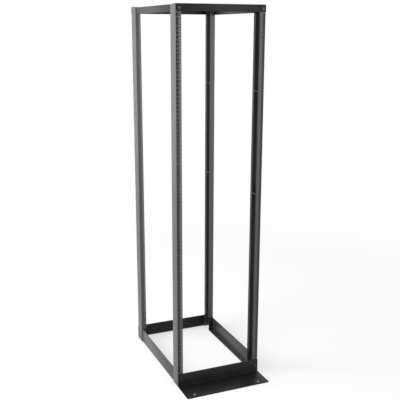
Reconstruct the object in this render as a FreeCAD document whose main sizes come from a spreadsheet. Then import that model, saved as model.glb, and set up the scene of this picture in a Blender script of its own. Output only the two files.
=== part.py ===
import FreeCAD, Part
import os
import re
import Sketcher

# Four post open frame rack for 19 inch equipment.
#
# Frame: millimetres, +Z up, the front of the rack towards -Y, X across its width.
# The origin is on the floor, in the middle of the overall width and depth.
# Each post is a bent steel channel, its web outwards and its two flanges pointing in.
# Angles bolted across the front and the back tie the posts together at the floor and at
# the top, and side rails with a plate at each end tie the front pair to the rear pair.

PARTS_DIR = "parts"

# Driving dimensions: each can be set by itself.
SIZES = {
    # overall
    "rack_width": "514.35",
    "rack_height": "2133.6",
    "post_span": "736.6",
    # posts: bent channel
    "web_depth": "76.2",
    "flange_width": "31.75",
    "post_sheet": "2.7",
    "post_bend": "3.3",
    # rack holes: three to a unit, in a column along each flange
    "unit_pitch": "44.45",
    "hole_first": "6.35",
    "hole_step": "15.875",
    "column_inset": "24.625",
    "rack_hole": "5.5",
    "units_margin": "88.9",
    # front foot: an angle whose floor leg reaches forward
    "foot_reach": "152.4",
    "foot_height": "80.5",
    "foot_sheet": "4.8",
    "foot_bend": "4.8",
    "foot_corner": "6.0",
    "anchor_hole": "14.3",
    "anchor_side": "54.0",
    "anchor_front": "30.5",
    # rear cross member: the same height, its short floor leg between the posts
    "rear_leg": "25.4",
    # side rails at the floor
    "rail_height": "88.9",
    "rail_leg": "31.75",
    "rail_sheet": "3.2",
    "rail_bend": "3.2",
    # top frame
    "beam_height": "38.1",
    "beam_leg": "38.1",
    "beam_sheet": "3.0",
    "beam_bend": "3.0",
    # plates at the ends of the side rails, and how far those lie inside the webs
    "plate_sheet": "3.2",
    "side_inset": "3.2",
}

# Places worked out from the sizes.
HALF_WIDTH = "rack_width / 2"
POST_FRONT = "(foot_reach - (foot_reach + post_span + rear_leg) / 2)"
POST_BACK = f"({POST_FRONT} + post_span)"
POST_MIDDLE = f"({POST_FRONT} + post_span / 2)"
POST_TOP = "(rack_height - beam_sheet)"
UNIT_COUNT = "floor((rack_height - 2 * units_margin) / unit_pitch + 0.01)"
LAST_UNIT = f"({UNIT_COUNT} - 1)"
SIDE_LENGTH = "(post_span - 2 * web_depth - 2 * plate_sheet)"

# Turns about Z that point an angle's open side where it belongs.
FACES_BACK = 0
FACES_FRONT = 180
FACES_RIGHT = -90
FACES_LEFT = 90

DOC = FreeCAD.newDocument("four_post_rack")


def make_sheet():
    """Write the driving dimensions into a spreadsheet, one named cell each."""
    sheet = DOC.addObject("Spreadsheet::Sheet", "dims")
    for row, (name, value) in enumerate(SIZES.items(), start=1):
        sheet.set(f"A{row}", name)
        sheet.set(f"B{row}", value)
        sheet.setAlias(f"B{row}", name)
    DOC.recompute()
    return sheet


SHEET = make_sheet()


def dims(expression):
    """Turn the size names in an expression into references to the sheet."""
    return re.sub(r"[a-z]+(?:_[a-z]+)+", lambda found: f"<<dims>>.{found.group()}", expression)


def number(expression):
    """Work out an expression of size names as a plain number of millimetres."""
    return float(SHEET.evalExpression(dims(expression)))


def origin_plane(body, role):
    """Find one of a body's own origin planes by its role."""
    return next(item for item in body.Origin.OriginFeatures if item.Role == role)


def make_body(label, x_place, y_place, z_place, turn):
    """Start a body that stands where the sheet says, turned about Z by whole degrees."""
    body = DOC.addObject("PartDesign::Body", label)
    body.Label = label
    about_z = FreeCAD.Rotation(FreeCAD.Vector(0, 0, 1), turn)
    body.Placement = FreeCAD.Placement(FreeCAD.Vector(), about_z)
    body.setExpression("Placement.Base.x", dims(x_place))
    body.setExpression("Placement.Base.y", dims(y_place))
    body.setExpression("Placement.Base.z", dims(z_place))
    return body


def make_sketch(body, name, role, lift="0"):
    """Add a sketch on one of the body's origin planes, lifted along that plane's normal."""
    sketch = body.newObject("Sketcher::SketchObject", name)
    sketch.AttachmentSupport = [(origin_plane(body, role), "")]
    sketch.MapMode = "FlatFace"
    sketch.setExpression("AttachmentOffset.Base.z", dims(lift))
    return sketch


def pin_point(sketch, geometry, end, across, along, name):
    """Tie one point of a sketch to two expressions measured from the sketch's origin."""
    for kind, letter, expression in (("DistanceX", "x", across), ("DistanceY", "y", along)):
        place = sketch.addConstraint(Sketcher.Constraint(kind, -1, 1, geometry, end, number(expression)))
        sketch.renameConstraint(place, f"{name}_{letter}")
        sketch.setExpression(f"Constraints.{name}_{letter}", dims(expression))


def add_outline(sketch, corners):
    """Draw a closed outline through corners, each a pair of expressions."""
    points = [FreeCAD.Vector(number(across), number(along), 0) for across, along in corners]
    first = sketch.GeometryCount
    for start, end in zip(points, points[1:] + points[:1]):
        sketch.addGeometry(Part.LineSegment(start, end), False)
    for index, (across, along) in enumerate(corners):
        before = first + (index - 1) % len(corners)
        sketch.addConstraint(Sketcher.Constraint("Coincident", before, 2, first + index, 1))
        pin_point(sketch, first + index, 1, across, along, f"corner{first + index}")


def add_rectangle(sketch, low_across, low_along, high_across, high_along):
    """Draw a rectangle between two opposite corners."""
    add_outline(sketch, [
        (low_across, low_along),
        (high_across, low_along),
        (high_across, high_along),
        (low_across, high_along),
    ])


def add_circle(sketch, across, along, diameter):
    """Draw a circle whose centre and diameter follow the sheet."""
    centre = FreeCAD.Vector(number(across), number(along), 0)
    circle = Part.Circle(centre, FreeCAD.Vector(0, 0, 1), number(diameter) / 2)
    index = sketch.addGeometry(circle, False)
    pin_point(sketch, index, 3, across, along, f"centre{index}")
    place = sketch.addConstraint(Sketcher.Constraint("Diameter", index, number(diameter)))
    sketch.renameConstraint(place, f"across{index}")
    sketch.setExpression(f"Constraints.across{index}", dims(diameter))


def add_square_hole(sketch, across, along, diameter):
    """Draw a square with the area of a round hole, for holes that repeat by the hundred."""
    half = f"({diameter} * sqrt(pi) / 4)"
    add_rectangle(
        sketch, f"{across} - {half}", f"{along} - {half}", f"{across} + {half}", f"{along} + {half}"
    )


def pad(body, sketch, length, centred=False):
    """Extrude a profile along its sketch's normal."""
    feature = body.newObject("PartDesign::Pad", f"{sketch.Name}_pad")
    feature.Profile = sketch
    feature.setExpression("Length", dims(length))
    if centred:
        feature.SideType = "Symmetric"
    DOC.recompute()
    return feature


def pocket(body, sketch, depth):
    """Cut a profile by half a depth to each side of its sketch."""
    before = body.Shape.Volume
    feature = body.newObject("PartDesign::Pocket", f"{sketch.Name}_pocket")
    feature.Profile = sketch
    feature.SideType = "Symmetric"
    feature.setExpression("Length", dims(depth))
    DOC.recompute()
    if not body.Shape.Volume < before:
        raise RuntimeError(f"{body.Label}: {sketch.Name} cuts nothing")
    return feature


def edges_along(shape, axis, places):
    """Name the straight edges that run along an axis through pairs of numbers on the other two."""
    others = [way for way in range(3) if way != axis]
    names = []
    for index, edge in enumerate(shape.Edges, start=1):
        start = edge.Vertexes[0].Point
        end = edge.Vertexes[-1].Point
        straight = all(abs(start[way] - end[way]) < 1e-6 for way in others)
        if straight and any(
            all(abs(start[way] - value) < 1e-4 for way, value in zip(others, place)) for place in places
        ):
            names.append(f"Edge{index}")
    return names


def fillet(body, name, axis, places, radius):
    """Round the straight edges that run along an axis through pairs of expressions."""
    base = body.Tip
    spots = [tuple(number(value) for value in place) for place in places]
    names = edges_along(base.Shape, axis, spots)
    if len(names) != len(places):
        raise RuntimeError(f"{body.Label}: {name} finds {len(names)} edges, not {len(places)}")
    feature = body.newObject("PartDesign::Fillet", name)
    feature.Base = (base, names)
    feature.setExpression("Radius", dims(radius))
    DOC.recompute()
    return feature


def hole_height(unit, hole):
    """Give the height of one of a unit's three holes, both counted from 0 at the bottom."""
    return f"(units_margin + {unit} * unit_pitch + hole_first + {hole} * hole_step)"


def make_post(label, x_place, y_place, turn, drilled_far):
    """Bend a channel upright and drill the flange that equipment is fixed to.

    In its own frame the web's outer face lies on X = 0 and the flanges point to +X, one at
    Y = 0 and one at the far side of the web. The drilled flange is one of those two.
    """
    body = make_body(label, x_place, y_place, "0", turn)
    profile = make_sketch(body, "channel", "XY_Plane")
    far_inner = "web_depth - post_sheet"
    add_outline(profile, [
        ("0", "0"),
        ("flange_width", "0"),
        ("flange_width", "post_sheet"),
        ("post_sheet", "post_sheet"),
        ("post_sheet", far_inner),
        ("flange_width", far_inner),
        ("flange_width", "web_depth"),
        ("0", "web_depth"),
    ])
    pad(body, profile, POST_TOP)
    fillet(body, "outer_bends", 2, [("0", "0"), ("0", "web_depth")], "post_bend + post_sheet")
    fillet(body, "inner_bends", 2, [("post_sheet", "post_sheet"), ("post_sheet", far_inner)], "post_bend")

    # An XZ sketch's normal is -Y, so the far flange is a negative lift away.
    lift = "-web_depth" if drilled_far else "0"
    depth = "4 * post_sheet"
    ends = make_sketch(body, "end_units", "XZ_Plane", lift)
    add_circle(ends, "column_inset", hole_height("0", 0), "rack_hole")
    add_square_hole(ends, "column_inset", hole_height("0", 1), "rack_hole")
    add_circle(ends, "column_inset", hole_height("0", 2), "rack_hole")
    add_square_hole(ends, "column_inset", hole_height(LAST_UNIT, 0), "rack_hole")
    add_square_hole(ends, "column_inset", hole_height(LAST_UNIT, 1), "rack_hole")
    add_circle(ends, "column_inset", hole_height(LAST_UNIT, 2), "rack_hole")
    pocket(body, ends, depth)

    unit = make_sketch(body, "rack_unit", "XZ_Plane", lift)
    for hole in range(3):
        add_square_hole(unit, "column_inset", hole_height("1", hole), "rack_hole")
    unit_holes = pocket(body, unit, depth)
    column = body.newObject("PartDesign::LinearPattern", "hole_column")
    column.Originals = [unit_holes]
    column.Direction = (unit, ["V_Axis"])
    column.setExpression("Length", dims(f"unit_pitch * ({UNIT_COUNT} - 3)"))
    column.setExpression("Occurrences", dims(f"{UNIT_COUNT} - 2"))
    body.Tip = column
    DOC.recompute()
    return body


def make_angle(label, places, turn, length, legs, sheet, bend, leg_on_top=False):
    """Bend an angle that runs along X, centred, its upright leg standing on Y = 0.

    The upright leg fills Y from 0 to the sheet's thickness. The other leg reaches to +Y,
    at the foot of the upright leg or level with its top. legs holds the two legs' lengths.
    """
    up_leg, out_leg = legs
    body = make_body(label, *places, turn)
    profile = make_sketch(body, "angle", "YZ_Plane")
    heel = up_leg if leg_on_top else "0"
    crook = f"{up_leg} - {sheet}" if leg_on_top else sheet
    tip = "0" if leg_on_top else up_leg
    add_outline(profile, [
        ("0", heel),
        (out_leg, heel),
        (out_leg, crook),
        (sheet, crook),
        (sheet, tip),
        ("0", tip),
    ])
    pad(body, profile, length, centred=True)
    fillet(body, "heel_bend", 0, [("0", heel)], f"{bend} + {sheet}")
    fillet(body, "crook_bend", 0, [(sheet, crook)], bend)
    return body


def make_front_foot():
    """Make the wide angle across the front, with round corners and two floor anchor holes."""
    body = make_angle(
        "front_foot", ("0", POST_FRONT, "0"), FACES_FRONT, "rack_width",
        ("foot_height", "foot_reach"), "foot_sheet", "foot_bend",
    )
    corners = [(f"-{HALF_WIDTH}", "foot_reach"), (HALF_WIDTH, "foot_reach")]
    fillet(body, "front_corners", 2, corners, "foot_corner")
    anchors = make_sketch(body, "anchor_holes", "XY_Plane")
    for side in ("-", ""):
        across = f"{side}({HALF_WIDTH} - anchor_side)"
        add_circle(anchors, across, "foot_reach - anchor_front", "anchor_hole")
    pocket(body, anchors, "4 * foot_sheet")
    return body


def make_rear_cross():
    """Make the angle across the back, its floor leg cut back to lie between the posts."""
    body = make_angle(
        "rear_cross_member", ("0", POST_BACK, "0"), FACES_BACK, "rack_width",
        ("foot_height", "rear_leg"), "foot_sheet", "foot_bend",
    )
    ends = make_sketch(body, "leg_ends", "XY_Plane")
    inner = f"({HALF_WIDTH} - flange_width)"
    outer = f"({HALF_WIDTH} + foot_sheet)"
    add_rectangle(ends, f"-{outer}", "foot_sheet", f"-{inner}", "rear_leg + foot_sheet")
    add_rectangle(ends, inner, "foot_sheet", outer, "rear_leg + foot_sheet")
    pocket(body, ends, "4 * (foot_sheet + foot_bend)")
    return body


def make_end_plate(label, x_place, y_place, z_place, turn, plate_height):
    """Make one end plate of a side rail, flat against a post's inner flange.

    In its own frame it runs along X from the rail's outer face to the flange's edge, and
    its thickness is centred on Y = 0.
    """
    body = make_body(label, x_place, y_place, z_place, turn)
    plate_width = "(flange_width - side_inset)"
    face = make_sketch(body, "plate_face", "XZ_Plane")
    add_rectangle(face, "0", "0", plate_width, plate_height)
    pad(body, face, "plate_sheet", centred=True)
    return body


def make_side_rails():
    """Make the side rails at the floor and at the top, each with its two end plates."""
    for side, sign, turn in (("left", "-", FACES_RIGHT), ("right", "", FACES_LEFT)):
        x_place = f"{sign}({HALF_WIDTH} - side_inset)"
        rail_legs = ("rail_height", "rail_leg")
        beam_legs = ("beam_height", "beam_leg")
        beam_level = f"{POST_TOP} - beam_height"
        levels = (
            ("base_rail", "0", rail_legs, "rail_sheet", "rail_bend", False),
            ("top_beam", beam_level, beam_legs, "beam_sheet", "beam_bend", True),
        )
        for kind, z_place, legs, sheet, bend, leg_on_top in levels:
            make_angle(
                f"{side}_{kind}", (x_place, POST_MIDDLE, z_place), turn, SIDE_LENGTH,
                legs, sheet, bend, leg_on_top,
            )
            for end, end_sign in (("front", "-"), ("rear", "+")):
                y_place = f"{POST_MIDDLE} {end_sign} ({SIDE_LENGTH} + plate_sheet) / 2"
                plate_turn = FACES_BACK if side == "left" else FACES_FRONT
                make_end_plate(
                    f"{side}_{kind}_{end}_plate", x_place, y_place, z_place, plate_turn, legs[0]
                )


def make_rack():
    """Make every piece of the rack."""
    left = f"-{HALF_WIDTH}"
    make_post("front_left_post", left, POST_FRONT, 0, drilled_far=False)
    make_post("rear_left_post", left, f"{POST_BACK} - web_depth", 0, drilled_far=True)
    make_post("front_right_post", HALF_WIDTH, f"{POST_FRONT} + web_depth", 180, drilled_far=True)
    make_post("rear_right_post", HALF_WIDTH, POST_BACK, 180, drilled_far=False)
    make_front_foot()
    make_rear_cross()
    beam_level = "rack_height - beam_height"
    beam_legs = ("beam_height", "beam_leg")
    make_angle(
        "top_front_beam", ("0", f"{POST_FRONT} - beam_sheet", beam_level), FACES_BACK,
        "rack_width", beam_legs, "beam_sheet", "beam_bend", leg_on_top=True,
    )
    make_angle(
        "top_rear_beam", ("0", f"{POST_BACK} + beam_sheet", beam_level), FACES_FRONT,
        "rack_width", beam_legs, "beam_sheet", "beam_bend", leg_on_top=True,
    )
    make_side_rails()


def write_parts():
    """Check every object and solid, then write each body to a file of its own."""
    DOC.recompute()
    failed = [item.Name for item in DOC.Objects if {"Invalid", "Error"} & set(item.State)]
    if failed:
        raise RuntimeError(f"objects that failed: {failed}")
    bodies = [item for item in DOC.Objects if item.TypeId == "PartDesign::Body"]
    for body in bodies:
        shape = body.Shape
        if shape.isNull() or not shape.isValid() or len(shape.Solids) != 1:
            raise RuntimeError(f"{body.Label}: not one valid solid")
    os.makedirs(PARTS_DIR, exist_ok=True)
    for body in bodies:
        body.Shape.exportStep(os.path.join(PARTS_DIR, f"{body.Label}.step"))
        print(f"{body.Label}: {body.Shape.Volume / 1000:.1f} cm3")


make_rack()
write_parts()
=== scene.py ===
"""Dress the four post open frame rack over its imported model.

Every length is in metres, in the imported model's own frame: the rack stands on Z = 0, its
front looks to -Y, and its left side is at -X.
"""

from __future__ import annotations

import logging
import math
from abc import ABC, abstractmethod
from dataclasses import dataclass, field
from enum import Enum
from itertools import pairwise
from typing import Iterable, Sequence

import bmesh
import bpy
from bmesh.types import BMEdge, BMesh, BMFace, BMVert
from bpy.types import Material, Mesh, Node, NodeSocket, NodeTree, Object
from mathutils import Matrix, Quaternion, Vector

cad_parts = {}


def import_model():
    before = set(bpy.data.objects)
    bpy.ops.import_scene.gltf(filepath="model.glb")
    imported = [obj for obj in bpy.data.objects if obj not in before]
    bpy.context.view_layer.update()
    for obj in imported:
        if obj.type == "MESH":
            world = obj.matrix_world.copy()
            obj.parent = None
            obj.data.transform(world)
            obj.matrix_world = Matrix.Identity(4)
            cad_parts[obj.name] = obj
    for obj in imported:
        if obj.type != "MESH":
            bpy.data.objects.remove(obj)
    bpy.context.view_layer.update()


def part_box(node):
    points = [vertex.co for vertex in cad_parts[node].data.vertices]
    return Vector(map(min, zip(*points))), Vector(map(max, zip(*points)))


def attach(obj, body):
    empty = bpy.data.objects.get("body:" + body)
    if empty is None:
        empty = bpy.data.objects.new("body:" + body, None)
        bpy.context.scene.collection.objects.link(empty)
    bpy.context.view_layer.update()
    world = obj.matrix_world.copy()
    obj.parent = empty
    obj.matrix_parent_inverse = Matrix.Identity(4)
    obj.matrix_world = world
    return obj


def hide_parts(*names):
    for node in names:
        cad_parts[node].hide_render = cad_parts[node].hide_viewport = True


LOG = logging.getLogger("rack")
ROOT = "root"
Triple = tuple[float, float, float]
Span = tuple[float, float]
UP = Vector((0.0, 0.0, 1.0))


class Named(Enum):
    """A choice whose name is part of the nodes' names."""

    @property
    def word(self) -> str:
        """Give the name as the nodes spell it."""
        return self.name.lower()


class Side(Named):
    """The rack's two sides, by the sign of X."""

    LEFT = -1
    RIGHT = 1


class End(Named):
    """The rack's two ends, by the sign of Y."""

    FRONT = -1
    REAR = 1

    @property
    def inward(self) -> Vector:
        """Give the way from this end into the rack."""
        return Vector((0.0, -self.value, 0.0))


class Facing(Enum):
    """Where a bent piece's open side looks, by its turn about Z in degrees."""

    REAR = 0
    RIGHT = -90
    FRONT = 180
    LEFT = 90


class LegAt(Enum):
    """Where an angle's lying leg joins its upright one, by the sign of Z."""

    FOOT = -1
    HEAD = 1


# --- Finishes ---


@dataclass(frozen=True)
class Grain:
    """One noise: its grains per metre, its finer layers and how strong they are."""

    scale: float
    detail: float
    rough: float


FULL: Span = (0.0, 1.0)
NOISE_SPAN: Span = (0.3, 0.7)
WIDE_NOISE_SPAN: Span = (0.25, 0.75)
POWDER_DRIFT = Grain(7.0, 3.0, 0.55)
POWDER_WAVE = Grain(14.0, 2.0, 0.5)
POWDER_PEEL = Grain(900.0, 2.0, 0.5)
POWDER_SPECK = Grain(2600.0, 1.0, 0.5)
ZINC_CLOUD = Grain(260.0, 3.0, 0.6)
ZINC_SCRATCH = Grain(1900.0, 2.0, 0.5)
FILM_CLOUD = Grain(120.0, 3.0, 0.6)


class NodeSheet:
    """A thin hand over a node tree, for laying nodes and joining them."""

    def __init__(self, tree: NodeTree) -> None:
        """Take the tree that the nodes go into."""
        self.tree = tree

    def add(self, kind: str, inputs: dict[str, object] | None = None, **settings: object) -> Node:
        """Lay one node.

        Args:
            kind: The node's type, without its ShaderNode prefix.
            inputs: The values of its input sockets by name.
            **settings: Its own properties by name.

        Returns:
            The new node.
        """
        node = self.tree.nodes.new(kind if kind.startswith("NodeGroup") else f"ShaderNode{kind}")
        for name, value in settings.items():
            setattr(node, name, value)
        for name, value in (inputs or {}).items():
            node.inputs[name].default_value = value
        return node

    def join(self, source: NodeSocket, target: NodeSocket) -> None:
        """Join an output to an input."""
        self.tree.links.new(source, target)

    def noise(self, place: NodeSocket, grain: Grain) -> NodeSocket:
        """Lay a noise texture over a place.

        Args:
            place: The coordinates that it follows.
            grain: Its scale and its finer layers.

        Returns:
            The noise's value, about 0.5 in the middle.
        """
        values = {"Scale": grain.scale, "Detail": grain.detail, "Roughness": grain.rough}
        node = self.add("TexNoise", values)
        self.join(place, node.inputs["Vector"])
        return node.outputs["Fac"]

    def stretch(self, value: NodeSocket, span: Span, onto: Span) -> NodeSocket:
        """Map a value from one span to another, held inside it.

        Args:
            value: The value to map.
            span: Where its own range starts and ends.
            onto: What those two become.

        Returns:
            The mapped value.
        """
        names = ("From Min", "From Max", "To Min", "To Max")
        node = self.add("MapRange", dict(zip(names, (*span, *onto))))
        self.join(value, node.inputs["Value"])
        return node.outputs["Result"]

    def reckon(self, operation: str, first: NodeSocket, second: NodeSocket) -> NodeSocket:
        """Lay a Math node over two values.

        Args:
            operation: The node's operation.
            first: One value.
            second: The other.

        Returns:
            The result.
        """
        node = self.add("Math", operation=operation)
        self.join(first, node.inputs[0])
        self.join(second, node.inputs[1])
        return node.outputs[0]

    def bump(self, height: NodeSocket, strength: float, distance: float) -> Node:
        """Lay a bump.

        Args:
            height: The height that it follows.
            strength: How much of it shows.
            distance: How deep it goes.

        Returns:
            The node.
        """
        node = self.add("Bump", {"Strength": strength, "Distance": distance})
        self.join(height, node.inputs["Height"])
        return node


class SurfaceSheet(NodeSheet):
    """The hand over a new material's nodes, with its object coordinates and its shader."""

    def __init__(self, name: str) -> None:
        """Start a material.

        Args:
            name: The material's name.
        """
        self.material = bpy.data.materials.new(name)
        self.material.use_nodes = True
        super().__init__(self.material.node_tree)
        self.shader = self.tree.nodes["Principled BSDF"]
        self.place = self.add("TexCoord").outputs["Object"]

    def feed(self, name: str, source: NodeSocket) -> None:
        """Join a source to the shader's input of that name."""
        self.join(source, self.shader.inputs[name])

    def tint(self, mask: NodeSocket, dark: Triple, light: Triple) -> None:
        """Feed the shader's colour with two tones, mixed by a mask.

        Args:
            mask: 0 for the dark tone, 1 for the light one.
            dark: The dark tone.
            light: The light tone.
        """
        mix = self.add("Mix", {"A": (*dark, 1.0), "B": (*light, 1.0)}, data_type="RGBA")
        self.join(mask, mix.inputs["Factor"])
        self.feed("Base Color", mix.outputs["Result"])


def powder_skin() -> NodeTree:
    """Make the node group that every powder coat shares.

    Returns:
        A group that takes a place and gives a tone, a roughness swing and a normal.
    """
    found = bpy.data.node_groups.get("powder_skin")
    if found is not None:
        return found
    tree = bpy.data.node_groups.new("powder_skin", "ShaderNodeTree")
    tree.interface.new_socket("Place", in_out="INPUT", socket_type="NodeSocketVector")
    tree.interface.new_socket("Tone", in_out="OUTPUT", socket_type="NodeSocketFloat")
    tree.interface.new_socket("Gloss", in_out="OUTPUT", socket_type="NodeSocketFloat")
    tree.interface.new_socket("Normal", in_out="OUTPUT", socket_type="NodeSocketVector")
    sheet = NodeSheet(tree)
    place = sheet.add("NodeGroupInput").outputs["Place"]
    end = sheet.add("NodeGroupOutput")
    for name, grain in (("Tone", POWDER_DRIFT), ("Gloss", POWDER_WAVE)):
        sheet.join(sheet.stretch(sheet.noise(place, grain), NOISE_SPAN, FULL), end.inputs[name])
    fine = sheet.bump(sheet.noise(place, POWDER_SPECK), strength=0.25, distance=0.00004)
    coarse = sheet.bump(sheet.noise(place, POWDER_PEEL), strength=0.35, distance=0.00012)
    sheet.join(fine.outputs["Normal"], coarse.inputs["Normal"])
    sheet.join(coarse.outputs["Normal"], end.inputs["Normal"])
    return tree


@dataclass(frozen=True)
class Finish(ABC):
    """What every finish shares: a name, and a colour that drifts between two tones."""

    name: str
    dark: Triple
    light: Triple

    @abstractmethod
    def dress(self, sheet: SurfaceSheet) -> None:
        """Lay the finish's own nodes on the sheet of its new material."""

    def build(self) -> Material:
        """Make the material.

        Returns:
            The material, or the one already made under this name.
        """
        found = bpy.data.materials.get(self.name)
        if found is not None:
            return found
        sheet = SurfaceSheet(self.name)
        self.dress(sheet)
        return sheet.material


@dataclass(frozen=True)
class PowderCoat(Finish):
    """Baked powder paint: a satin black with a fine orange peel."""

    smooth: float
    rough: float
    specular: float

    def dress(self, sheet: SurfaceSheet) -> None:
        """Lay the shared powder skin and join it up.

        Args:
            sheet: The sheet of the new material.
        """
        skin = sheet.add("Group", node_tree=powder_skin())
        sheet.join(sheet.place, skin.inputs["Place"])
        sheet.tint(skin.outputs["Tone"], self.dark, self.light)
        sheet.feed("Roughness", sheet.stretch(skin.outputs["Gloss"], FULL, (self.smooth, self.rough)))
        sheet.feed("Normal", skin.outputs["Normal"])
        sheet.shader.inputs["Specular IOR Level"].default_value = self.specular


@dataclass(frozen=True)
class BlackZinc(Finish):
    """The fasteners' black zinc plating, with a faint turned grain."""

    roughness: float
    smoother: float = 0.08
    rougher: float = 0.1

    def dress(self, sheet: SurfaceSheet) -> None:
        """Lay a clouded tone and a fine scratch.

        Args:
            sheet: The sheet of the new material.
        """
        scratch = sheet.noise(sheet.place, ZINC_SCRATCH)
        cloud = sheet.stretch(sheet.noise(sheet.place, ZINC_CLOUD), NOISE_SPAN, FULL)
        sheet.tint(cloud, self.dark, self.light)
        swing = (self.roughness - self.smoother, self.roughness + self.rougher)
        sheet.feed("Roughness", sheet.stretch(scratch, WIDE_NOISE_SPAN, swing))
        sheet.feed("Normal", sheet.bump(scratch, strength=0.2, distance=0.00005).outputs["Normal"])
        sheet.shader.inputs["Metallic"].default_value = 1.0


@dataclass(frozen=True)
class PrintedFilm(Finish):
    """A matt film or its print, with a soft cloud in its tone and gloss."""

    roughness: float
    swing: float = 0.04
    specular: float = 0.25

    def dress(self, sheet: SurfaceSheet) -> None:
        """Lay one cloud for the tone and the gloss.

        Args:
            sheet: The sheet of the new material.
        """
        cloud = sheet.noise(sheet.place, FILM_CLOUD)
        sheet.tint(sheet.stretch(cloud, NOISE_SPAN, FULL), self.dark, self.light)
        swing = (self.roughness - self.swing, self.roughness + self.swing)
        sheet.feed("Roughness", sheet.stretch(cloud, NOISE_SPAN, swing))
        sheet.shader.inputs["Specular IOR Level"].default_value = self.specular


POST_COAT = PowderCoat(
    "post_powder_coat", (0.030, 0.030, 0.0305), (0.039, 0.039, 0.0395),
    smooth=0.36, rough=0.44, specular=0.65,
)
# The frame's copy of the black powder coat is darker and less glossy than the posts' and the base rails':
# painted shade that stands in for dark reflections on the foot, the cross member and the top beams.
SHADED_FRAME_COAT = PowderCoat(
    "frame_powder_coat", (0.005, 0.005, 0.0052), (0.008, 0.008, 0.0082),
    smooth=0.34, rough=0.42, specular=0.22,
)
RAIL_COAT = PowderCoat(
    "rail_powder_coat", (0.024, 0.024, 0.0245), (0.034, 0.034, 0.0345),
    smooth=0.30, rough=0.38, specular=0.4,
)
PLATE_COAT = PowderCoat(
    "plate_powder_coat", (0.008, 0.008, 0.0082), (0.012, 0.012, 0.0122),
    smooth=0.36, rough=0.44, specular=0.3,
)
# The unit film's dark tone is painted shade along the front flanges' outer band; the ink is the print on
# it.
PAINTED_SHADE_FILM = PrintedFilm("unit_scale_film", (0.013, 0.013, 0.0135), (0.018, 0.018, 0.0185), roughness=0.5)
SCALE_INK = PrintedFilm("unit_scale_ink", (0.29, 0.29, 0.29), (0.35, 0.35, 0.35), roughness=0.55)
BOLT_ZINC = BlackZinc("bolt_black_zinc", (0.05, 0.05, 0.052), (0.085, 0.085, 0.088), roughness=0.36)


# --- Sheet metal ---


@dataclass(frozen=True)
class Stock:
    """A steel sheet: its thickness and the inner radius of its bends."""

    sheet: float
    bend: float

    @property
    def outer(self) -> float:
        """Give a bend's outer radius."""
        return self.sheet + self.bend


POST_STOCK = Stock(sheet=0.0027, bend=0.0006)
CROSS_STOCK = Stock(sheet=0.0048, bend=0.0024)
RAIL_STOCK = Stock(sheet=0.0032, bend=0.0008)
BEAM_STOCK = Stock(sheet=0.003, bend=0.0008)

# Points or heights that are nearer to each other than this count as one.
TOUCHING = 0.000001

# Faces that meet at less than the first are smooth, and at more than the second form an edge.
SMOOTH_BELOW = math.radians(30)
EDGE_ABOVE = math.radians(60)

# The share of its length that an upright edge rises by at least.
STRAIGHT = 0.999


def only(kind: type, geometry: Iterable[object]) -> list:
    """Keep what is of one kind from a mixed result."""
    return [item for item in geometry if isinstance(item, kind)]


def is_level(edge: BMEdge, height: float) -> bool:
    """Say whether an edge lies level at a height."""
    return all(abs(vert.co.z - height) < TOUCHING for vert in edge.verts)


def sharp_edges(mesh: BMesh) -> list[BMEdge]:
    """Find the edges where two faces meet at well over a bend's facet."""
    shared = [edge for edge in mesh.edges if len(edge.link_faces) == 2]
    return [edge for edge in shared if edge.calc_face_angle() > EDGE_ABOVE]


def upright_edges(mesh: BMesh, shortest: float) -> list[BMEdge]:
    """Find the sharp edges that run along Z.

    Args:
        mesh: The bmesh to look through.
        shortest: The least length of such an edge.

    Returns:
        The edges.
    """
    found = []
    for edge in sharp_edges(mesh):
        along = edge.verts[1].co - edge.verts[0].co
        if along.length > shortest and abs(along.z) > STRAIGHT * along.length:
            found.append(edge)
    return found


def round_edges(mesh: BMesh, edges: Iterable[BMEdge], offset: float, segments: int = 2) -> None:
    """Round some edges.

    Args:
        mesh: The bmesh that they are in.
        edges: The edges to round.
        offset: How far the rounding reaches.
        segments: How many facets it has.
    """
    bmesh.ops.bevel(
        mesh, geom=list(edges), offset=offset, offset_type="OFFSET", affect="EDGES",
        segments=segments, profile=0.5, material=-1, clamp_overlap=True,
    )


def add_block(mesh: BMesh, middle: Vector, size: Vector) -> None:
    """Add a square block to a bmesh by its middle and its size."""
    place = Matrix.Translation(middle) @ Matrix.Diagonal((*size, 1.0))
    bmesh.ops.create_cube(mesh, size=1.0, matrix=place)


def write_mesh(mesh: BMesh, name: str) -> Mesh:
    """Turn a bmesh into a mesh that is smooth but for its sharp edges.

    Args:
        mesh: The bmesh, which is freed.
        name: The mesh's name.

    Returns:
        The mesh.
    """
    data = bpy.data.meshes.new(name)
    mesh.to_mesh(data)
    mesh.free()
    data.shade_smooth()
    data.set_sharp_from_angle(angle=SMOOTH_BELOW)
    return data


def add_object(name: str, data: bpy.types.ID) -> Object:
    """Put a mesh, lamp or camera in the scene.

    Args:
        name: The object's name.
        data: What it shows.

    Returns:
        The new object.
    """
    made = bpy.data.objects.new(name, data)
    bpy.context.scene.collection.objects.link(made)
    return made


def place_piece(name: str, data: Mesh, finish: Finish, nodes: Sequence[str] = ()) -> Object:
    """Put a mesh in the scene as one piece of the rack.

    Args:
        name: The piece's name.
        data: Its mesh, with its place in it.
        finish: Its finish.
        nodes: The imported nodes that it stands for.

    Returns:
        The new object.
    """
    data.materials.clear()
    data.materials.append(finish.build())
    piece = add_object(name, data)
    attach(piece, ROOT)
    if nodes:
        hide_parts(*nodes)
    return piece


class Assembly(ABC):
    """A part of the rack that makes its own pieces."""

    @abstractmethod
    def build(self) -> list[Object]:
        """Make the pieces and give their objects."""


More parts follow.
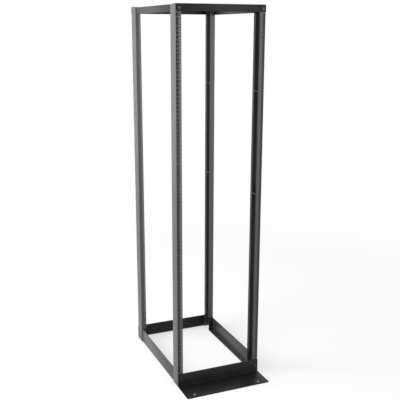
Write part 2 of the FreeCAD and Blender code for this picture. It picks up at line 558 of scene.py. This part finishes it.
class FoldedSheet:
    """A steel sheet: a profile drawn by its outer skin, pulled out and given its thickness.

    Where a hole goes, a face is inset by a share of the hole's radius before it is opened.
    """

    bend_facets = 5
    inset_share = 0.2

    def __init__(self, start: Vector) -> None:
        """Put the profile's first point."""
        self.mesh = bmesh.new()
        self.tip = bmesh.ops.create_vert(self.mesh, co=start)["vert"][0]

    def run(self, step: Vector) -> None:
        """Carry the profile on in a straight line.

        Args:
            step: The way that it goes.
        """
        made = bmesh.ops.extrude_vert_indiv(self.mesh, verts=[self.tip])
        self.tip = made["verts"][0]
        bmesh.ops.translate(self.mesh, verts=[self.tip], vec=step)

    def fold(self, centre: Vector, axis: Vector, angle: float) -> None:
        """Carry the profile round a bend.

        Args:
            centre: A point on the bend's axis.
            axis: The axis that it turns about.
            angle: How far it turns, in radians.
        """
        made = bmesh.ops.spin(
            self.mesh, geom=[self.tip], cent=centre, axis=axis, angle=angle,
            steps=self.bend_facets, use_merge=False,
        )
        self.tip = only(BMVert, made["geom_last"])[0]

    def pull(self, steps: Sequence[Vector], edges: list[BMEdge] | None = None) -> None:
        """Pull edges out into faces, one row for each step.

        Args:
            steps: How far each row goes.
            edges: The edges to pull, or the whole profile where none are given.
        """
        edges = list(edges or self.mesh.edges)
        for step in steps:
            made = bmesh.ops.extrude_edge_only(self.mesh, edges=edges)["geom"]
            verts = set(only(BMVert, made))
            bmesh.ops.translate(self.mesh, verts=list(verts), vec=step)
            edges = [edge for edge in only(BMEdge, made) if verts.issuperset(edge.verts)]

    def punch(self, holes: Sequence[tuple[BMFace, Vector]], radius: float, facets: int) -> None:
        """Punch a round hole through each of some four-sided faces.

        Args:
            holes: Each face with its hole's centre.
            radius: The holes' radius.
            facets: How many facets a hole has, a multiple of four.
        """
        edges = dict.fromkeys(edge for face, _ in holes for edge in face.edges)
        bmesh.ops.subdivide_edges(self.mesh, edges=list(edges), cuts=facets // 4 - 1, use_grid_fill=False)
        turn_by = 2 * math.pi / facets
        for face, centre in holes:
            bmesh.ops.inset_individual(self.mesh, faces=[face], thickness=radius * self.inset_share)
            middle = face.calc_center_median()
            ring = list(face.verts)
            first = max(range(facets), key=lambda index: (ring[index].co - middle).length)
            arm = (ring[first].co - middle).normalized() * radius
            for vert in ring[first:] + ring[:first]:
                vert.co = centre + arm
                arm.rotate(Quaternion(face.normal, turn_by))
        bmesh.ops.delete(self.mesh, geom=[face for face, _ in holes], context="FACES_ONLY")

    def thicken(self, outward: Vector, thickness: float) -> None:
        """Turn the skin to face outwards and give the sheet its thickness behind it.

        Args:
            outward: The way that the skin's largest face across it looks.
            thickness: The sheet's thickness.
        """
        bmesh.ops.recalc_face_normals(self.mesh, faces=self.mesh.faces)
        probe = max(self.mesh.faces, key=lambda face: abs(face.normal.dot(outward)) * face.calc_area())
        if probe.normal.dot(outward) < 0:
            bmesh.ops.reverse_faces(self.mesh, faces=self.mesh.faces)
        bmesh.ops.solidify(self.mesh, geom=list(self.mesh.faces), thickness=thickness)
        bmesh.ops.recalc_face_normals(self.mesh, faces=self.mesh.faces)


# --- Posts ---


@dataclass(frozen=True)
class Units:
    """The rack units up a post: how many, how high one is, and where the first one starts."""

    count: int = 45
    height: float = 0.04445
    foot: float = 0.0889

    @property
    def top(self) -> float:
        """Give the height that the last unit ends at."""
        return self.foot + self.count * self.height


RACK_UNITS = Units()


@dataclass
class Posts(Assembly):
    """The four uprights: channels with a column of rack holes down both flanges.

    A hole is as wide as its tapped thread is inside.
    """

    stock: Stock = POST_STOCK
    units: Units = RACK_UNITS
    holes: int = 3
    first_hole: float = 0.00635
    hole_step: float = 0.015875
    inset: float = 0.024625
    hole: float = 0.0044
    facets: int = 12
    softening: float = 0.0004
    shortest_softened: float = 0.0005
    coat: PowderCoat = POST_COAT

    def hole_heights(self) -> list[float]:
        """Give the heights of a unit's holes above its own foot."""
        return [self.first_hole + index * self.hole_step for index in range(self.holes)]

    def row_steps(self) -> list[float]:
        """Give the heights of the rows that a unit is cut into, one for each hole."""
        middles = [(low + high) / 2 for low, high in pairwise(self.hole_heights())]
        return [high - low for low, high in pairwise([0.0, *middles, self.units.height])]

    def unit_strip(self, width: float, depth: float) -> FoldedSheet:
        """Draw one rack unit of the channel, drilled.

        Args:
            width: How far the flanges reach.
            depth: How deep the web is.

        Returns:
            The unit's outer skin, its foot on Z = 0.
        """
        outer = self.stock.outer
        cell = 2 * (width - self.inset)
        strip = FoldedSheet(Vector((width, 0.0, 0.0)))
        strip.run(Vector((-cell, 0.0, 0.0)))
        strip.run(Vector((-(width - cell - outer), 0.0, 0.0)))
        strip.fold(Vector((outer, outer, 0.0)), UP, -math.pi / 2)
        strip.run(Vector((0.0, depth - 2 * outer, 0.0)))
        strip.fold(Vector((outer, depth - outer, 0.0)), UP, -math.pi / 2)
        strip.run(Vector((width - cell - outer, 0.0, 0.0)))
        strip.run(Vector((cell, 0.0, 0.0)))
        strip.pull([Vector((0.0, 0.0, step)) for step in self.row_steps()])
        holes = []
        for face in strip.mesh.faces:
            middle = face.calc_center_median()
            if middle.x > width - cell:
                height = min(self.hole_heights(), key=lambda value: abs(value - middle.z))
                holes.append((face, Vector((self.inset, middle.y, height))))
        strip.punch(holes, self.hole / 2, self.facets)
        return strip

    def channel(self, width: float, depth: float, height: float) -> Mesh:
        """Stack the units into one post.

        Args:
            width: How far the flanges reach.
            depth: How deep the web is.
            height: The post's height.

        Returns:
            The post's mesh, its web on X = 0 and its flanges pointing to +X.
        """
        strip = self.unit_strip(width, depth)
        bmesh.ops.translate(strip.mesh, verts=strip.mesh.verts, vec=(0.0, 0.0, self.units.foot))
        first = [*strip.mesh.verts, *strip.mesh.edges, *strip.mesh.faces]
        for index in range(1, self.units.count):
            copy = bmesh.ops.duplicate(strip.mesh, geom=first)["geom"]
            lift = Vector((0.0, 0.0, index * self.units.height))
            bmesh.ops.translate(strip.mesh, verts=only(BMVert, copy), vec=lift)
        bmesh.ops.remove_doubles(strip.mesh, verts=strip.mesh.verts, dist=TOUCHING)
        for level, target in ((self.units.foot, 0.0), (self.units.top, height)):
            rim = [edge for edge in strip.mesh.edges if edge.is_boundary and is_level(edge, level)]
            strip.pull([Vector((0.0, 0.0, target - level))], rim)
        strip.thicken(Vector((-1.0, 0.0, 0.0)), self.stock.sheet)
        round_edges(strip.mesh, upright_edges(strip.mesh, self.shortest_softened), self.softening)
        return write_mesh(strip.mesh, "post_channel")

    def build(self) -> list[Object]:
        """Make the four posts.

        Returns:
            Their objects.
        """
        low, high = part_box("front_left_post")
        channel = self.channel(*(high - low))
        made = []
        for side in Side:
            for end in End:
                node = f"{end.word}_{side.word}_post"
                low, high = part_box(node)
                place = Matrix.Translation(low)
                if side is Side.RIGHT:
                    place = Matrix.Translation((high.x, high.y, low.z)) @ Matrix.Rotation(math.pi, 4, "Z")
                data = channel.copy()
                data.name = f"{node}_mesh"
                data.transform(place)
                made.append(place_piece(f"drilled_{node}", data, self.coat, [node]))
        bpy.data.meshes.remove(channel)
        return made


@dataclass
class PostTies(Assembly):
    """The small level plates inside each post, which hold its two flanges apart."""

    post: Stock = POST_STOCK
    sheet: float = 0.0027
    short_of_edge: float = 0.002
    tops: Sequence[float] = (1.1015, 1.679)
    softening: float = 0.0003
    coat: PowderCoat = POST_COAT

    def build(self) -> list[Object]:
        """Make the plates of all four posts.

        Returns:
            Their one object.
        """
        mesh = bmesh.new()
        web = self.post.sheet
        off_centre = (self.short_of_edge - web) / 2
        for side in Side:
            for end in End:
                low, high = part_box(f"{end.word}_{side.word}_post")
                middle = (low + high) / 2 + Vector((side.value * off_centre, 0.0, 0.0))
                size = high - low - Vector((web + self.short_of_edge, 2 * web, 0.0))
                size.z = self.sheet
                for top in self.tops:
                    middle.z = top - self.sheet / 2
                    add_block(mesh, middle, size)
        round_edges(mesh, mesh.edges, self.softening)
        return [place_piece("post_ties", write_mesh(mesh, "post_ties_mesh"), self.coat)]


@dataclass
class UnitScale(Assembly):
    """The front posts' unit marks: each unit's number and a line between, printed on a dark film that is
    painted shade along each front flange's outer band.
    """

    units: Units = RACK_UNITS
    from_corner: float = 0.0015
    width: float = 0.0135
    thickness: float = 0.00015
    past_ends: float = 0.002
    corner: float = 0.002
    corner_facets: int = 4
    line: float = 0.0012
    line_reach: float = 0.0105
    figure: float = 0.0085
    figure_facets: int = 2
    ink: float = 0.00005

    def middle(self, side: Side) -> Vector:
        """Find where a film goes.

        Args:
            side: The post's side.

        Returns:
            The film's middle at the first unit's foot, on the post's front face.
        """
        low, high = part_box(f"front_{side.word}_post")
        outer = low.x if side is Side.LEFT else high.x
        inwards = side.value * (self.from_corner + self.width / 2)
        return Vector((outer - inwards, low.y, self.units.foot))

    def film(self, side: Side) -> Object:
        """Lay the dark film, painted shade along the flange's outer band, on one post.

        Args:
            side: The post's side.

        Returns:
            The film's object.
        """
        mesh = bmesh.new()
        height = self.units.count * self.units.height
        middle = self.middle(side) + Vector((0.0, -self.thickness / 2, height / 2))
        add_block(mesh, middle, Vector((self.width, self.thickness, height + 2 * self.past_ends)))
        through = self.thickness + TOUCHING
        corners = [edge for edge in mesh.edges if edge.calc_length() < through]
        round_edges(mesh, corners, self.corner, self.corner_facets)
        # This dark film is painted shade along the flange's outer band.
        return place_piece(f"unit_scale_{side.word}", write_mesh(mesh, "unit_scale"), PAINTED_SHADE_FILM)

    def number(self, value: int, middle: Vector) -> Mesh:
        """Write one unit's number.

        Args:
            value: The number.
            middle: Its middle.

        Returns:
            Its thin mesh, which looks to -Y.
        """
        curve = bpy.data.curves.new("unit_number", "FONT")
        curve.body = str(value)
        curve.size = self.figure
        curve.align_x = "CENTER"
        curve.align_y = "CENTER"
        curve.extrude = self.ink / 2
        curve.resolution_u = self.figure_facets
        text = bpy.data.objects.new("unit_number", curve)
        data = bpy.data.meshes.new_from_object(text)
        bpy.data.objects.remove(text)
        bpy.data.curves.remove(curve)
        data.transform(Matrix.Translation(middle) @ Matrix.Rotation(math.pi / 2, 4, "X"))
        return data

    def marks(self, side: Side) -> Object:
        """Print the lines and the numbers on one post's film.

        Args:
            side: The post's side.

        Returns:
            The print's object.
        """
        mesh = bmesh.new()
        foot = self.middle(side) + Vector((0.0, -self.thickness - self.ink / 2, 0.0))
        for index in range(self.units.count + 1):
            line = foot + Vector((0.0, 0.0, index * self.units.height))
            add_block(mesh, line, Vector((self.line_reach, self.ink, self.line)))
        for index in range(self.units.count):
            data = self.number(index + 1, foot + Vector((0.0, 0.0, (index + 0.5) * self.units.height)))
            mesh.from_mesh(data)
            bpy.data.meshes.remove(data)
        bmesh.ops.remove_doubles(mesh, verts=mesh.verts, dist=TOUCHING)
        bmesh.ops.recalc_face_normals(mesh, faces=mesh.faces)
        name = f"unit_print_{side.word}"
        return place_piece(name, write_mesh(mesh, name), SCALE_INK)

    def build(self) -> list[Object]:
        """Lay a film and its print on both front posts.

        Returns:
            Their objects.
        """
        return [piece for side in Side for piece in (self.film(side), self.marks(side))]


# --- Angles and plates ---


def stand(node: str, facing: Facing) -> Matrix:
    """Give the place of a piece that was made from its own corner, open to +Y.

    Args:
        node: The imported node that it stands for.
        facing: Where its open side looks.

    Returns:
        The matrix that takes it there.
    """
    low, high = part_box(node)
    corner = Vector((
        high.x if facing in (Facing.FRONT, Facing.LEFT) else low.x,
        high.y if facing in (Facing.FRONT, Facing.RIGHT) else low.y,
        low.z,
    ))
    return Matrix.Translation(corner) @ Matrix.Rotation(math.radians(facing.value), 4, "Z")


@dataclass
class Angle(Assembly):
    """One bent angle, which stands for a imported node.

    In its own frame it runs along X from 0, its upright leg stands on Y = 0 and its other
    leg reaches to +Y.
    """

    node: str
    facing: Facing
    stock: Stock
    leg_at: LegAt = LegAt.FOOT
    # The frame coat is a darker copy of the powder coat: painted shade.
    coat: PowderCoat = SHADED_FRAME_COAT
    slot: str = "frame_coat"
    softening: float = 0.0006
    up: float = field(init=False)
    out: float = field(init=False)
    length: float = field(init=False)

    def __post_init__(self) -> None:
        """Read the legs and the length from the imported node."""
        low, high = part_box(self.node)
        size = high - low
        self.up = size.z
        along_x = self.facing in (Facing.FRONT, Facing.REAR)
        self.length, self.out = (size.x, size.y) if along_x else (size.y, size.x)

    def stations(self) -> list[float]:
        """Give the places along the angle where its faces are parted."""
        return []

    def last_run(self) -> float:
        """Give how much of the lying leg's edge is a row of its own."""
        return 0.0

    def skin(self) -> FoldedSheet:
        """Draw the angle's outer skin.

        Returns:
            The skin, before it has its thickness.
        """
        outer = self.stock.outer
        way = float(self.leg_at.value)
        tip, heel = (0.0, self.up) if self.leg_at is LegAt.HEAD else (self.up, 0.0)
        skin = FoldedSheet(Vector((0.0, 0.0, tip)))
        skin.run(Vector((0.0, 0.0, way * (self.up - outer))))
        skin.fold(Vector((0.0, outer, heel - way * outer)), Vector((1.0, 0.0, 0.0)), -way * math.pi / 2)
        skin.run(Vector((0.0, self.out - outer - self.last_run(), 0.0)))
        if self.last_run():
            skin.run(Vector((0.0, self.last_run(), 0.0)))
        cuts = [0.0, *self.stations(), self.length]
        skin.pull([Vector((high - low, 0.0, 0.0)) for low, high in pairwise(cuts)])
        return skin

    def cut(self, skin: FoldedSheet) -> None:
        """Cut the skin before it has its thickness; a plain angle has nothing cut."""

    def trim(self, skin: FoldedSheet) -> None:
        """Shape the thick sheet before its edges are softened; a plain angle stays as it is."""

    def build(self) -> list[Object]:
        """Make the angle.

        Returns:
            Its object, in a list.
        """
        skin = self.skin()
        self.cut(skin)
        skin.thicken(Vector((0.0, -1.0, 0.0)), self.stock.sheet)
        self.trim(skin)
        round_edges(skin.mesh, sharp_edges(skin.mesh), self.softening)
        bmesh.ops.transform(skin.mesh, matrix=stand(self.node, self.facing), verts=skin.mesh.verts)
        data = write_mesh(skin.mesh, f"{self.node}_mesh")
        return [place_piece(f"bent_{self.node}", data, self.coat, [self.node])]


@dataclass
class FrontFoot(Angle):
    """The wide foot: two floor anchor holes near its front corners, which are rounded."""

    anchor_hole: float = 0.0143
    anchor_facets: int = 24
    anchor_side: float = 0.054
    anchor_front: float = 0.0305
    corner: float = 0.006
    corner_facets: int = 6

    def stations(self) -> list[float]:
        """Part the faces on both sides of each anchor hole."""
        near, far = (self.anchor_side + way * self.anchor_front for way in (-1, 1))
        return [near, far, self.length - far, self.length - near]

    def last_run(self) -> float:
        """Part the row that holds the anchor holes, which are in its middle."""
        return 2 * self.anchor_front

    def cut(self, skin: FoldedSheet) -> None:
        """Punch each anchor hole through the face that has it in its middle.

        Args:
            skin: The foot's skin.
        """
        holes = []
        for across in (self.anchor_side, self.length - self.anchor_side):
            spot = Vector((across, self.out - self.anchor_front, 0.0))
            face = min(skin.mesh.faces, key=lambda item: (item.calc_center_median() - spot).length)
            holes.append((face, spot))
        skin.punch(holes, self.anchor_hole / 2, self.anchor_facets)

    def trim(self, skin: FoldedSheet) -> None:
        """Round the front corners.

        Args:
            skin: The foot's thick sheet.
        """
        corners = [
            edge
            for edge in sharp_edges(skin.mesh)
            if all(abs(vert.co.y - self.out) < TOUCHING for vert in edge.verts)
            and all(min(vert.co.x, self.length - vert.co.x) < TOUCHING for vert in edge.verts)
        ]
        round_edges(skin.mesh, corners, self.corner, self.corner_facets)


@dataclass
class RearCross(Angle):
    """The cross member between the rear posts: its lying leg stops short of both ends."""

    end_cut: float = 0.03175

    def stations(self) -> list[float]:
        """Part the faces where the lying leg ends."""
        return [self.end_cut, self.length - self.end_cut]

    def cut(self, skin: FoldedSheet) -> None:
        """Take the lying leg off at both ends.

        Args:
            skin: The cross member's skin.
        """
        waste = []
        for face in skin.mesh.faces:
            middle = face.calc_center_median()
            if middle.y > self.stock.sheet and min(middle.x, self.length - middle.x) < self.end_cut:
                waste.append(face)
        bmesh.ops.delete(skin.mesh, geom=waste, context="FACES")


@dataclass
class EndPlates(Assembly):
    """The flat plates that join the side rails and beams to the posts."""

    rails: Sequence[str] = ("base_rail", "top_beam")
    softening: float = 0.0005
    coat: PowderCoat = PLATE_COAT

    def plate(self, node: str) -> Object:
        """Make one plate in the box of its node.

        Args:
            node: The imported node.

        Returns:
            The plate's object.
        """
        low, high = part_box(node)
        mesh = bmesh.new()
        add_block(mesh, (low + high) / 2, high - low)
        round_edges(mesh, mesh.edges, self.softening)
        data = write_mesh(mesh, f"{node}_mesh")
        return place_piece(f"flat_{node}", data, self.coat, [node])

    def build(self) -> list[Object]:
        """Make the eight plates.

        Returns:
            Their objects.
        """
        return [
            self.plate(f"{side.word}_{rail}_{end.word}_plate")
            for side in Side
            for rail in self.rails
            for end in End
        ]


# --- Fasteners ---


@dataclass(frozen=True)
class Seat:
    """Where one bolt sits: under its head, the way its shank runs, and what it clamps."""

    point: Vector
    way: Vector
    grip: float


@dataclass
class Bolts:
    """Hex head bolts with a washer at each end and a nut, all of one joint in one piece."""

    name: str
    seats: list[Seat]
    thread: float = 0.0079
    thread_depth: float = 0.0006
    thread_end: float = 0.0008
    pitch: float = 0.0014
    across: float = 0.0127
    chamfer: float = 0.0009
    head: float = 0.0053
    inside_head: float = 0.0005
    nut: float = 0.0067
    spare: float = 0.004
    washer: float = 0.0016
    washer_width: float = 0.0175
    washer_edge: float = 0.0003
    facets: int = 20
    finish: BlackZinc = BOLT_ZINC

    def hexagon(self, mesh: BMesh, low: float, high: float, free: float) -> None:
        """Add a hexagon whose free end has its outer corners taken off.

        Args:
            mesh: Where it goes.
            low: Where it starts along Z.
            high: Where it ends.
            free: Which of those two is its free end.
        """
        radius = self.across / math.sqrt(3)
        middle = Matrix.Translation((0.0, 0.0, (low + high) / 2))
        made = bmesh.ops.create_cone(
            mesh, cap_ends=True, segments=6, radius1=radius, radius2=radius,
            depth=high - low, matrix=middle,
        )
        verts = set(made["verts"])
        rim = [edge for edge in mesh.edges if verts.issuperset(edge.verts) and is_level(edge, free)]
        round_edges(mesh, rim, self.chamfer)

    def turn(self, mesh: BMesh, points: Sequence[Span], closed: bool) -> None:
        """Turn a profile about Z.

        Args:
            mesh: Where it goes.
            points: The profile as pairs of radius and height.
            closed: Whether the profile joins up with its start.
        """
        spots = [(radius, 0.0, height) for radius, height in points]
        verts = [bmesh.ops.create_vert(mesh, co=spot)["vert"][0] for spot in spots]
        after = verts[1:] + verts[:1] if closed else verts[1:]
        edges = [mesh.edges.new(pair) for pair in zip(verts, after)]
        bmesh.ops.spin(
            mesh, geom=verts + edges, cent=(0.0, 0.0, 0.0), axis=UP, angle=2 * math.pi,
            steps=self.facets, use_merge=True,
        )

    def ring(self, mesh: BMesh, low: float, high: float) -> None:
        """Add a washer.

        Args:
            mesh: Where it goes.
            low: Where it starts along Z.
            high: Where it ends.
        """
        inner = self.thread / 2
        outer = self.washer_width / 2
        soft = self.washer_edge
        points = [(inner, low), (outer, low), (outer, high - soft), (outer - soft, high), (inner, high)]
        self.turn(mesh, points, closed=True)

    def shank(self, mesh: BMesh, top: float, low: float) -> None:
        """Add the shank, with its thread from inside the nut to its end.

        Args:
            mesh: Where it goes.
            top: Where it starts, inside the head.
            low: Where it ends.
        """
        radius = self.thread / 2
        root = radius - self.thread_depth
        height = low + self.spare + self.nut / 2
        points = [(0.0, top), (radius, top), (radius, height)]
        while height - self.pitch > low + self.thread_end:
            points += [(root, height - self.pitch / 2), (radius, height - self.pitch)]
            height -= self.pitch
        points += [(root, low), (0.0, low)]
        self.turn(mesh, points, closed=False)

    def one(self, grip: float) -> Mesh:
        """Make one bolt that stands on Z = 0, its head up and its shank down.

        Args:
            grip: The thickness that it clamps.

        Returns:
            Its mesh.
        """
        mesh = bmesh.new()
        top = self.washer + self.head
        under = -grip - self.washer
        end = under - self.nut
        self.ring(mesh, 0.0, self.washer)
        self.hexagon(mesh, self.washer, top, free=top)
        self.ring(mesh, under, -grip)
        self.hexagon(mesh, end, under, free=end)
        self.shank(mesh, self.washer + self.inside_head, end - self.spare)
        bmesh.ops.remove_doubles(mesh, verts=mesh.verts, dist=TOUCHING)
        bmesh.ops.recalc_face_normals(mesh, faces=mesh.faces)
        return write_mesh(mesh, "bolt")

    def build(self) -> Object:
        """Make the set.

        Returns:
            Its object.
        """
        mesh = bmesh.new()
        for seat in self.seats:
            bolt = self.one(seat.grip)
            turned = (-seat.way).to_track_quat("Z", "Y").to_matrix().to_4x4()
            bolt.transform(Matrix.Translation(seat.point) @ turned)
            mesh.from_mesh(bolt)
            bpy.data.meshes.remove(bolt)
        return place_piece(self.name, write_mesh(mesh, f"{self.name}_mesh"), self.finish)


@dataclass
class Hardware(Assembly):
    """Every bolt of the frame, each height taken from the foot of the piece that it holds.

    The posts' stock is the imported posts' own, because it says where a flange is flat.
    """

    post: Stock = Stock(sheet=0.0027, bend=0.0033)
    foot_height: float = 0.043
    beam_height: float = 0.016
    base_rail_heights: Sequence[float] = (0.0185, 0.0704)
    top_beam_heights: Sequence[float] = (0.019,)

    def flange_middle(self) -> float:
        """Give how far from the rack's middle plane the flat of a flange has its middle."""
        low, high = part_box("front_right_post")
        return high.x - (high.x - low.x + self.post.outer) / 2

    def face(self, node: str, end: End) -> float:
        """Give where along Y a node's face at one end lies."""
        low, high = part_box(node)
        return low.y if end is End.FRONT else high.y

    def cross_seats(self, node: str, end: End, sheet: float, height: float) -> list[Seat]:
        """Seat the bolts that hold a cross piece to the outer flanges of its two posts.

        Args:
            node: The cross piece.
            end: The rack's end that it is on.
            sheet: Its thickness.
            height: The bolts' height above its own foot.

        Returns:
            The seats.
        """
        low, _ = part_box(node)
        head = self.face(f"{end.word}_left_post", end) + end.value * sheet
        points = [Vector((side.value * self.flange_middle(), head, low.z + height)) for side in Side]
        return [Seat(point, end.inward, sheet + self.post.sheet) for point in points]

    def rail_seats(self, rail: str, heights: Sequence[float]) -> list[Seat]:
        """Seat the bolts that hold the side rails' end plates to the posts' inner flanges.

        Args:
            rail: The rails' name without their side.
            heights: The bolts' heights above the plates' foot.

        Returns:
            The seats.
        """
        seats = []
        for side in Side:
            for end in End:
                plate = f"{side.word}_{rail}_{end.word}_plate"
                low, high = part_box(plate)
                head = self.face(plate, end) + end.value * self.post.sheet
                points = [Vector(((low.x + high.x) / 2, head, low.z + height)) for height in heights]
                grip = high.y - low.y + self.post.sheet
                seats += [Seat(point, end.inward, grip) for point in points]
        return seats

    def build(self) -> list[Object]:
        """Make the bolt sets.

        Returns:
            Their objects.
        """
        cross = (
            ("front_foot_bolts", "front_foot", End.FRONT, CROSS_STOCK, self.foot_height),
            ("rear_cross_bolts", "rear_cross_member", End.REAR, CROSS_STOCK, self.foot_height),
            ("top_front_bolts", "top_front_beam", End.FRONT, BEAM_STOCK, self.beam_height),
            ("top_rear_bolts", "top_rear_beam", End.REAR, BEAM_STOCK, self.beam_height),
        )
        made = []
        for name, node, end, stock, height in cross:
            made.append(Bolts(name, self.cross_seats(node, end, stock.sheet, height)).build())
        for rail, heights in (("base_rail", self.base_rail_heights), ("top_beam", self.top_beam_heights)):
            made.append(Bolts(f"{rail}_bolts", self.rail_seats(rail, heights)).build())
        return made


# --- Studio ---


@dataclass(frozen=True)
class Lamp:
    """One soft box: where it stands, what it looks at, its size and power."""

    name: str
    place: Triple
    target: Triple
    width: float
    height: float
    power: float


@dataclass
class Studio:
    """The pale floor and surroundings, the soft boxes and the camera.

    The floor's glow grows from floor_glow near the rack, where it takes the rack's shadow,
    to the whole at floor_far.
    """

    surround_light: float = 0.45
    floor_half: float = 40.0
    floor_tone: Triple = (0.9, 0.9, 0.9)
    floor_near: float = 1.0
    floor_far: float = 3.5
    floor_glow: float = 0.5
    eye: Triple = (-1.5543, -3.7028, 2.0005)
    yaw: float = 0.3993
    pitch: float = 0.256
    roll: float = 0.0019
    lens: float = 62.45
    sensor: float = 36.0
    rise: float = 0.030
    sight: float = 200.0
    lamps: Sequence[Lamp] = (
        Lamp("left_box", (-4.0, 0.6, 2.0), (0.0, 0.1, 0.9), 3.0, 3.0, 220.0),
        Lamp("left_back_box", (-2.9, 4.4, 1.5), (0.0, 0.1, 1.0), 3.6, 3.0, 28.0),
        Lamp("front_right_box", (2.6, -5.0, 1.8), (0.0, 0.0, 1.1), 3.0, 3.4, 66.0),
        Lamp("top_box", (0.0, 0.0, 5.5), (0.0, 0.0, 0.0), 3.5, 3.5, 120.0),
    )

    def shown(self, sheet: NodeSheet) -> NodeSocket:
        """Give 1 for what is seen directly, in a reflection or through glass.

        Args:
            sheet: The hand over the node tree.

        Returns:
            The mask.
        """
        rays = sheet.add("LightPath").outputs
        seen = sheet.reckon("MAXIMUM", rays["Is Camera Ray"], rays["Is Glossy Ray"])
        return sheet.reckon("MAXIMUM", seen, rays["Is Transmission Ray"])

    def surroundings(self) -> None:
        """Fill the world: white where it is seen, a softer grey as light."""
        world = bpy.data.worlds.new("pale_surroundings")
        bpy.context.scene.world = world
        world.use_nodes = True
        sheet = NodeSheet(world.node_tree)
        back = world.node_tree.nodes["Background"]
        back.inputs["Color"].default_value = (1.0, 1.0, 1.0, 1.0)
        strength = sheet.stretch(self.shown(sheet), FULL, (self.surround_light, 1.0))
        sheet.join(strength, back.inputs["Strength"])

    def floor_paint(self) -> Material:
        """Make the floor's matt white, which keeps a soft shadow.

        Returns:
            The material.
        """
        material = bpy.data.materials.new("pale_floor")
        material.use_nodes = True
        tree = material.node_tree
        sheet = NodeSheet(tree)
        tree.nodes.remove(tree.nodes["Principled BSDF"])
        matt = sheet.add("BsdfDiffuse", {"Color": (*self.floor_tone, 1.0)})
        glow = sheet.add("Emission", {"Color": (1.0, 1.0, 1.0, 1.0), "Strength": 1.0})
        away = sheet.add("VectorMath", operation="LENGTH")
        sheet.join(sheet.add("TexCoord").outputs["Object"], away.inputs[0])
        near_to_far = (self.floor_near, self.floor_far)
        share = sheet.stretch(away.outputs["Value"], near_to_far, (self.floor_glow, 1.0))
        blend = sheet.add("MixShader")
        sheet.join(sheet.reckon("MULTIPLY", self.shown(sheet), share), blend.inputs[0])
        sheet.join(matt.outputs[0], blend.inputs[1])
        sheet.join(glow.outputs[0], blend.inputs[2])
        sheet.join(blend.outputs[0], tree.nodes["Material Output"].inputs["Surface"])
        return material

    def floor(self) -> None:
        """Lay the floor."""
        mesh = bmesh.new()
        bmesh.ops.create_grid(mesh, x_segments=1, y_segments=1, size=self.floor_half)
        data = bpy.data.meshes.new("studio_floor")
        mesh.to_mesh(data)
        mesh.free()
        data.materials.append(self.floor_paint())
        add_object("studio_floor", data)

    def light(self, lamp: Lamp) -> None:
        """Hang one soft box.

        Args:
            lamp: Its facts.
        """
        data = bpy.data.lights.new(lamp.name, "AREA")
        data.shape = "RECTANGLE"
        data.size = lamp.width
        data.size_y = lamp.height
        data.energy = lamp.power
        light = add_object(lamp.name, data)
        light.location = lamp.place
        light.visible_camera = False
        gaze = Vector(lamp.target) - Vector(lamp.place)
        light.rotation_euler = gaze.to_track_quat("-Z", "Y").to_euler()

    def camera(self) -> None:
        """Stand the camera: looking level to +Y, then rolled, tipped down and turned right."""
        data = bpy.data.cameras.new("main_camera")
        data.sensor_fit = "HORIZONTAL"
        data.sensor_width = self.sensor
        data.lens = self.lens
        data.shift_y = self.rise
        data.clip_end = self.sight
        camera = add_object("main_camera", data)
        turned = Matrix.Rotation(-self.yaw, 4, "Z") @ Matrix.Rotation(math.pi / 2 - self.pitch, 4, "X")
        camera.matrix_world = Matrix.Translation(self.eye) @ turned @ Matrix.Rotation(self.roll, 4, "Z")
        bpy.context.scene.camera = camera

    def build(self) -> None:
        """Set the whole studio up."""
        self.surroundings()
        self.floor()
        for lamp in self.lamps:
            self.light(lamp)
        self.camera()
        bpy.context.scene.view_settings.view_transform = "Standard"


def main() -> None:
    """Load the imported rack, dress it and set the studio up."""
    logging.basicConfig(level=logging.INFO, format="%(name)s: %(message)s")
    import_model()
    Studio().build()
    assemblies: list[Assembly] = [
        Posts(),
        PostTies(),
        UnitScale(),
        FrontFoot("front_foot", Facing.FRONT, CROSS_STOCK),
        RearCross("rear_cross_member", Facing.REAR, CROSS_STOCK),
        Angle("top_front_beam", Facing.REAR, BEAM_STOCK, LegAt.HEAD),
        Angle("top_rear_beam", Facing.FRONT, BEAM_STOCK, LegAt.HEAD),
        Angle("left_base_rail", Facing.RIGHT, RAIL_STOCK, coat=RAIL_COAT),
        Angle("left_top_beam", Facing.RIGHT, BEAM_STOCK, LegAt.HEAD),
        Angle("right_base_rail", Facing.LEFT, RAIL_STOCK, coat=RAIL_COAT),
        Angle("right_top_beam", Facing.LEFT, BEAM_STOCK, LegAt.HEAD),
        EndPlates(),
        Hardware(),
    ]
    for assembly in assemblies:
        for piece in assembly.build():
            LOG.info("%s: %d faces", piece.name, len(piece.data.polygons))


if __name__ == "__main__":
    main()
